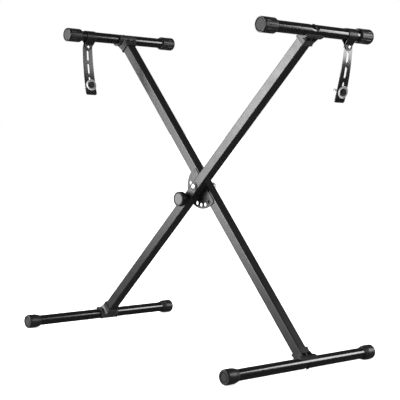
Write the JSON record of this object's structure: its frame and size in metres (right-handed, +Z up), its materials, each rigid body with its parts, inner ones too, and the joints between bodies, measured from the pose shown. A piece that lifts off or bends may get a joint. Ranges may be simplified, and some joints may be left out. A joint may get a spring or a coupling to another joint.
{
  "type": "folding x keyboard stand",
  "caption": "Folding X-shaped keyboard stand with round support bars, rubber end caps, a half-round lock plate with a pull knob, and slotted retaining straps.",
  "frame": {"origin": "on the floor under the middle of the stand's outline, at rest in the opened pose", "axes": "+Z up, +X to the right across the X, -Y the front, where the pull knob is"},
  "size_m": [0.7376, 0.4976, 0.7627],
  "materials": {
    "powder_coat": "satin black powder coat",
    "gloss_paint": "gloss black paint",
    "rubber": "matte dark grey rubber",
    "plastic": "matte black moulded plastic",
    "zinc": "bright zinc plating",
    "clear_plastic": "smoky clear plastic"
  },
  "bodies": {
    "frame_a": {"tube_a": "powder_coat", "top_bar_left": "gloss_paint", "cap_top_left_near": "rubber", "cap_top_left_far": "rubber", "saddle_top_left": "plastic", "bar_bolt_top_left": "zinc", "bar_nut_top_left": "zinc", "foot_bar_right": "gloss_paint", "cap_foot_right_near": "rubber", "cap_foot_right_far": "rubber", "saddle_foot_right": "plastic", "bar_bolt_foot_right": "zinc", "bar_nut_foot_right": "zinc", "lock_plate": "powder_coat", "plate_rivet_upper": "powder_coat", "plate_rivet_lower": "powder_coat", "pivot_bolt": "zinc", "pivot_washer_front": "plastic", "pivot_washer_back": "zinc", "pivot_nut": "zinc", "pivot_sleeve_a": "zinc"},
    "frame_b": {"tube_b": "powder_coat", "top_bar_right": "gloss_paint", "cap_top_right_near": "rubber", "cap_top_right_far": "rubber", "saddle_top_right": "plastic", "bar_bolt_top_right": "zinc", "bar_nut_top_right": "zinc", "foot_bar_left": "gloss_paint", "cap_foot_left_near": "rubber", "cap_foot_left_far": "rubber", "saddle_foot_left": "plastic", "bar_bolt_foot_left": "zinc", "bar_nut_foot_left": "zinc", "pivot_sleeve_b": "zinc", "lock_housing": "plastic", "lock_housing_nut": "zinc", "lock_spring": "zinc"},
    "lock_pull": {"lock_pin": "zinc", "lock_knob": "plastic"},
    "left_clip": {"left_clip": "gloss_paint", "left_strap_rivet": "zinc"},
    "left_strap": {"left_strap": "gloss_paint"},
    "left_carriage": {"left_cup_washer": "clear_plastic", "left_back_washer": "zinc"},
    "left_thumb_screw": {"left_thumb_screw": "zinc", "left_thumb_knob": "plastic"},
    "right_clip": {"right_clip": "gloss_paint", "right_strap_rivet": "zinc"},
    "right_strap": {"right_strap": "gloss_paint"},
    "right_carriage": {"right_cup_washer": "clear_plastic", "right_back_washer": "zinc"},
    "right_thumb_screw": {"right_thumb_screw": "zinc", "right_thumb_knob": "plastic"}
  },
  "joints": [
    {"name": "x_fold", "type": "hinge", "parent": "frame_a", "child": "frame_b", "pos_m": [0, 0, 0.3832], "axis": [0, -1, 0], "range_deg": [-53.5, 82.2]},
    {"name": "lock_knob_pull", "type": "slide", "parent": "frame_b", "child": "lock_pull", "axis": [0, -1, 0], "range_m": [-0.0023, 0.005], "stiffness_N_per_m": 600, "springref_m": -0.01, "deforming": ["lock_spring"]},
    {"name": "left_clip_swing", "type": "hinge", "parent": "frame_a", "child": "left_clip", "pos_m": [-0.34819, -0.0935, 0.74566], "axis": [0, -1, 0], "continuous": true},
    {"name": "left_strap_pivot", "type": "hinge", "parent": "left_clip", "child": "left_strap", "pos_m": [-0.34536, -0.0935, 0.7188], "axis": [0.9945, 0, 0.1045], "range_deg": [-60, 60]},
    {"name": "left_screw_travel", "type": "hinge", "parent": "left_strap", "child": "left_carriage", "pos_m": [0.2124, -0.0935, 0.76938], "axis": [0, -1, 0], "range_deg": [-1.9, 0.08]},
    {"name": "left_screw_turn", "type": "hinge", "parent": "left_carriage", "child": "left_thumb_screw", "pos_m": [-0.32732, -0.0935, 0.62007], "axis": [0.9638, 0, 0.2666], "continuous": true},
    {"name": "right_clip_swing", "type": "hinge", "parent": "frame_b", "child": "right_clip", "pos_m": [0.34819, 0.122, 0.74566], "axis": [0, 1, 0], "continuous": true},
    {"name": "right_strap_pivot", "type": "hinge", "parent": "right_clip", "child": "right_strap", "pos_m": [0.34677, 0.122, 0.71869], "axis": [0.9986, 0, -0.0523], "range_deg": [-60, 60]},
    {"name": "right_screw_travel", "type": "hinge", "parent": "right_strap", "child": "right_carriage", "pos_m": [-0.21288, 0.122, 0.74001], "axis": [0, 1, 0], "range_deg": [-1.9, 0.08]},
    {"name": "right_screw_turn", "type": "hinge", "parent": "right_carriage", "child": "right_thumb_screw", "pos_m": [0.33393, 0.122, 0.61915], "axis": [0.9764, 0, -0.2158], "continuous": true}
  ]
}
